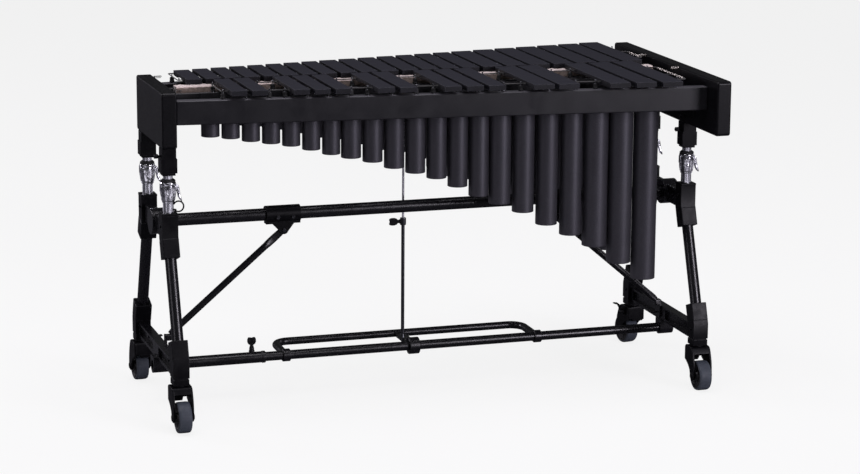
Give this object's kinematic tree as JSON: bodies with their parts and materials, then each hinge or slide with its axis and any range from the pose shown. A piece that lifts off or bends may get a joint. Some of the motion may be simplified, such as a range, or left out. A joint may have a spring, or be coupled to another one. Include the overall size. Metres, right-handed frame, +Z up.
{
  "type": "xylophone",
  "caption": "Three-octave metal-bar xylophone (vibraphone type) with damper pedal, graduated resonator tubes and a wheeled, height-adjustable stand.",
  "frame": {"origin": "on the floor, midway between the end panels and midway between the front and back posts", "axes": "+X along the keyboard towards the low notes, +Y towards the player, +Z up"},
  "size_m": [1.4516, 0.712, 0.8335],
  "materials": {
    "panel_wood": "satin black lacquer over a fine grain",
    "rail_wood": "satin black, fine pebbled lacquer",
    "inner_rail": "satin black",
    "bar": "blue-black anodised, fine matte",
    "resonator": "dark grey powder coat",
    "stopper": "dark grey",
    "bracket_steel": "satin black",
    "frame_steel": "satin black powder coat",
    "chrome": "bright",
    "cast_alloy": "polished cast",
    "bolt": "zinc",
    "post_steel": "bright",
    "rubber": "matte",
    "cord": "braided cord",
    "spring": "bright",
    "felt": "wool felt",
    "damper_alloy": "mill finish",
    "moulded": "fine texture",
    "wheel": "grey tread"
  },
  "bodies": {
    "stand": {"lower_posts": "chrome", "post_clamps": "cast_alloy", "clamp_gaskets": "rubber", "upper_leg_brackets": "moulded", "leg_tubes": "frame_steel", "lower_leg_brackets": "moulded", "caster_sockets": "moulded", "upper_crossbars": "frame_steel", "lower_crossbars": "frame_steel", "upper_beam": "frame_steel", "beam_clamps": "moulded", "diagonal_braces": "frame_steel", "lower_beam": "frame_steel", "lower_beam_sleeve": "frame_steel", "frame_screws": "bolt", "tether_loop": "rubber"},
    "keyboard": {"high_end_panel": "panel_wood", "low_end_panel": "panel_wood", "front_rail": "rail_wood", "back_rail": "rail_wood", "inner_rails": "inner_rail", "panel_brackets": "bracket_steel", "panel_bolts": "bolt", "cord_posts": "post_steel", "post_sleeves": "rubber", "bar_cords": "cord", "cord_springs": "spring", "natural_bars": "bar", "accidental_bars": "bar", "natural_resonators": "resonator", "accidental_resonators": "resonator", "resonator_stoppers": "stopper", "resonator_rails": "bracket_steel", "post_sockets": "moulded", "socket_screws": "moulded", "upper_posts": "chrome", "damper_guides": "bracket_steel", "damper_springs": "spring"},
    "damper": {"damper_beam": "damper_alloy", "damper_felt": "felt", "damper_rod": "post_steel"},
    "rod_tube": {"damper_rod_tube": "frame_steel"},
    "rod_wing": {"rod_wing_screw": "moulded"},
    "pedal": {"pedal_frame": "frame_steel"},
    "sleeve_wing": {"sleeve_wing_screw": "moulded"},
    "crossbar_wing": {"crossbar_wing_screw": "moulded"},
    "lever_high_front": {"clamp_lever_high_front": "cast_alloy"},
    "lever_high_back": {"clamp_lever_high_back": "cast_alloy"},
    "lever_low_front": {"clamp_lever_low_front": "cast_alloy"},
    "lever_low_back": {"clamp_lever_low_back": "cast_alloy"},
    "caster_high_front": {"caster_fork_high_front": "moulded"},
    "wheel_high_front": {"caster_wheel_high_front": "wheel"},
    "caster_high_back": {"caster_fork_high_back": "moulded"},
    "wheel_high_back": {"caster_wheel_high_back": "wheel"},
    "brake_high": {"caster_brake_high": "moulded"},
    "caster_low_front": {"caster_fork_low_front": "moulded"},
    "wheel_low_front": {"caster_wheel_low_front": "wheel"},
    "caster_low_back": {"caster_fork_low_back": "moulded"},
    "wheel_low_back": {"caster_wheel_low_back": "wheel"},
    "brake_low": {"caster_brake_low": "moulded"}
  },
  "joints": [
    {"name": "keyboard_lift", "type": "slide", "parent": "stand", "child": "keyboard", "axis": [0, 0, 1], "range_m": [0, 0.1]},
    {"name": "pedal_press", "type": "hinge", "parent": "stand", "child": "pedal", "pos_m": [-0.017, 0, 0.1066], "axis": [-1, 0, 0], "range_deg": [0, 18]},
    {"name": "damper_drop", "type": "slide", "parent": "keyboard", "child": "damper", "axis": [0, 0, -1], "range_m": [0, 0.0085], "deforming": ["damper_springs"]},
    {"name": "rod_drop", "type": "slide", "parent": "stand", "child": "rod_tube", "axis": [0, 0, -1], "range_m": [0, 0.0085]},
    {"name": "rod_wing_turn", "type": "hinge", "parent": "rod_tube", "child": "rod_wing", "pos_m": [-0.046, 0.027, 0.435], "axis": [-1, 0, 0], "range_deg": [-90, 90]},
    {"name": "sleeve_wing_turn", "type": "hinge", "parent": "stand", "child": "sleeve_wing", "pos_m": [-0.452, 0, 0.134], "axis": [0, 0, 1], "range_deg": [-90, 90]},
    {"name": "crossbar_wing_turn", "type": "hinge", "parent": "stand", "child": "crossbar_wing", "pos_m": [0.674, 0, 0.149], "axis": [-1, 0, 0], "range_deg": [-90, 90]},
    {"name": "lever_high_front_open", "type": "hinge", "parent": "stand", "child": "lever_high_front", "pos_m": [-0.671, -0.124, 0.592], "axis": [0, -1, 0], "range_deg": [0, 100]},
    {"name": "lever_high_back_open", "type": "hinge", "parent": "stand", "child": "lever_high_back", "pos_m": [-0.671, 0.124, 0.592], "axis": [0, -1, 0], "range_deg": [0, 100]},
    {"name": "lever_low_front_open", "type": "hinge", "parent": "stand", "child": "lever_low_front", "pos_m": [0.711, -0.124, 0.592], "axis": [0, -1, 0], "range_deg": [0, 100]},
    {"name": "lever_low_back_open", "type": "hinge", "parent": "stand", "child": "lever_low_back", "pos_m": [0.711, 0.124, 0.592], "axis": [0, -1, 0], "range_deg": [0, 100]},
    {"name": "swivel_high_front", "type": "hinge", "parent": "stand", "child": "caster_high_front", "pos_m": [-0.691, -0.229, 0.1], "axis": [0, 0, 1], "continuous": true},
    {"name": "roll_high_front", "type": "hinge", "parent": "caster_high_front", "child": "wheel_high_front", "pos_m": [-0.691, -0.258, 0.039], "axis": [1, 0, 0], "continuous": true},
    {"name": "swivel_high_back", "type": "hinge", "parent": "stand", "child": "caster_high_back", "pos_m": [-0.691, 0.229, 0.1], "axis": [0, 0, 1], "continuous": true},
    {"name": "roll_high_back", "type": "hinge", "parent": "caster_high_back", "child": "wheel_high_back", "pos_m": [-0.69201, 0.25798, 0.039], "axis": [-0.9994, -0.0349, 0], "continuous": true},
    {"name": "brake_high_press", "type": "hinge", "parent": "caster_high_back", "child": "brake_high", "pos_m": [-0.65982, 0.23009, 0.096], "axis": [-0.0349, 0.9994, 0], "range_deg": [0, 25]},
    {"name": "swivel_low_front", "type": "hinge", "parent": "stand", "child": "caster_low_front", "pos_m": [0.691, -0.229, 0.1], "axis": [0, 0, 1], "continuous": true},
    {"name": "roll_low_front", "type": "hinge", "parent": "caster_low_front", "child": "wheel_low_front", "pos_m": [0.69049, -0.258, 0.039], "axis": [0.9998, -0.0175, 0], "continuous": true},
    {"name": "swivel_low_back", "type": "hinge", "parent": "stand", "child": "caster_low_back", "pos_m": [0.691, 0.229, 0.1], "axis": [0, 0, 1], "continuous": true},
    {"name": "roll_low_back", "type": "hinge", "parent": "caster_low_back", "child": "wheel_low_back", "pos_m": [0.68696, 0.25772, 0.039], "axis": [-0.9903, -0.1392, 0], "continuous": true},
    {"name": "brake_low_press", "type": "hinge", "parent": "caster_low_back", "child": "brake_low", "pos_m": [0.6601, 0.22466, 0.096], "axis": [0.1392, -0.9903, 0], "range_deg": [0, 25]}
  ],
  "couplings": [
    {"joint": "damper_drop", "follows": "pedal_press", "m_per_rad": 0.027},
    {"joint": "rod_drop", "follows": "pedal_press", "m_per_rad": 0.027}
  ]
}
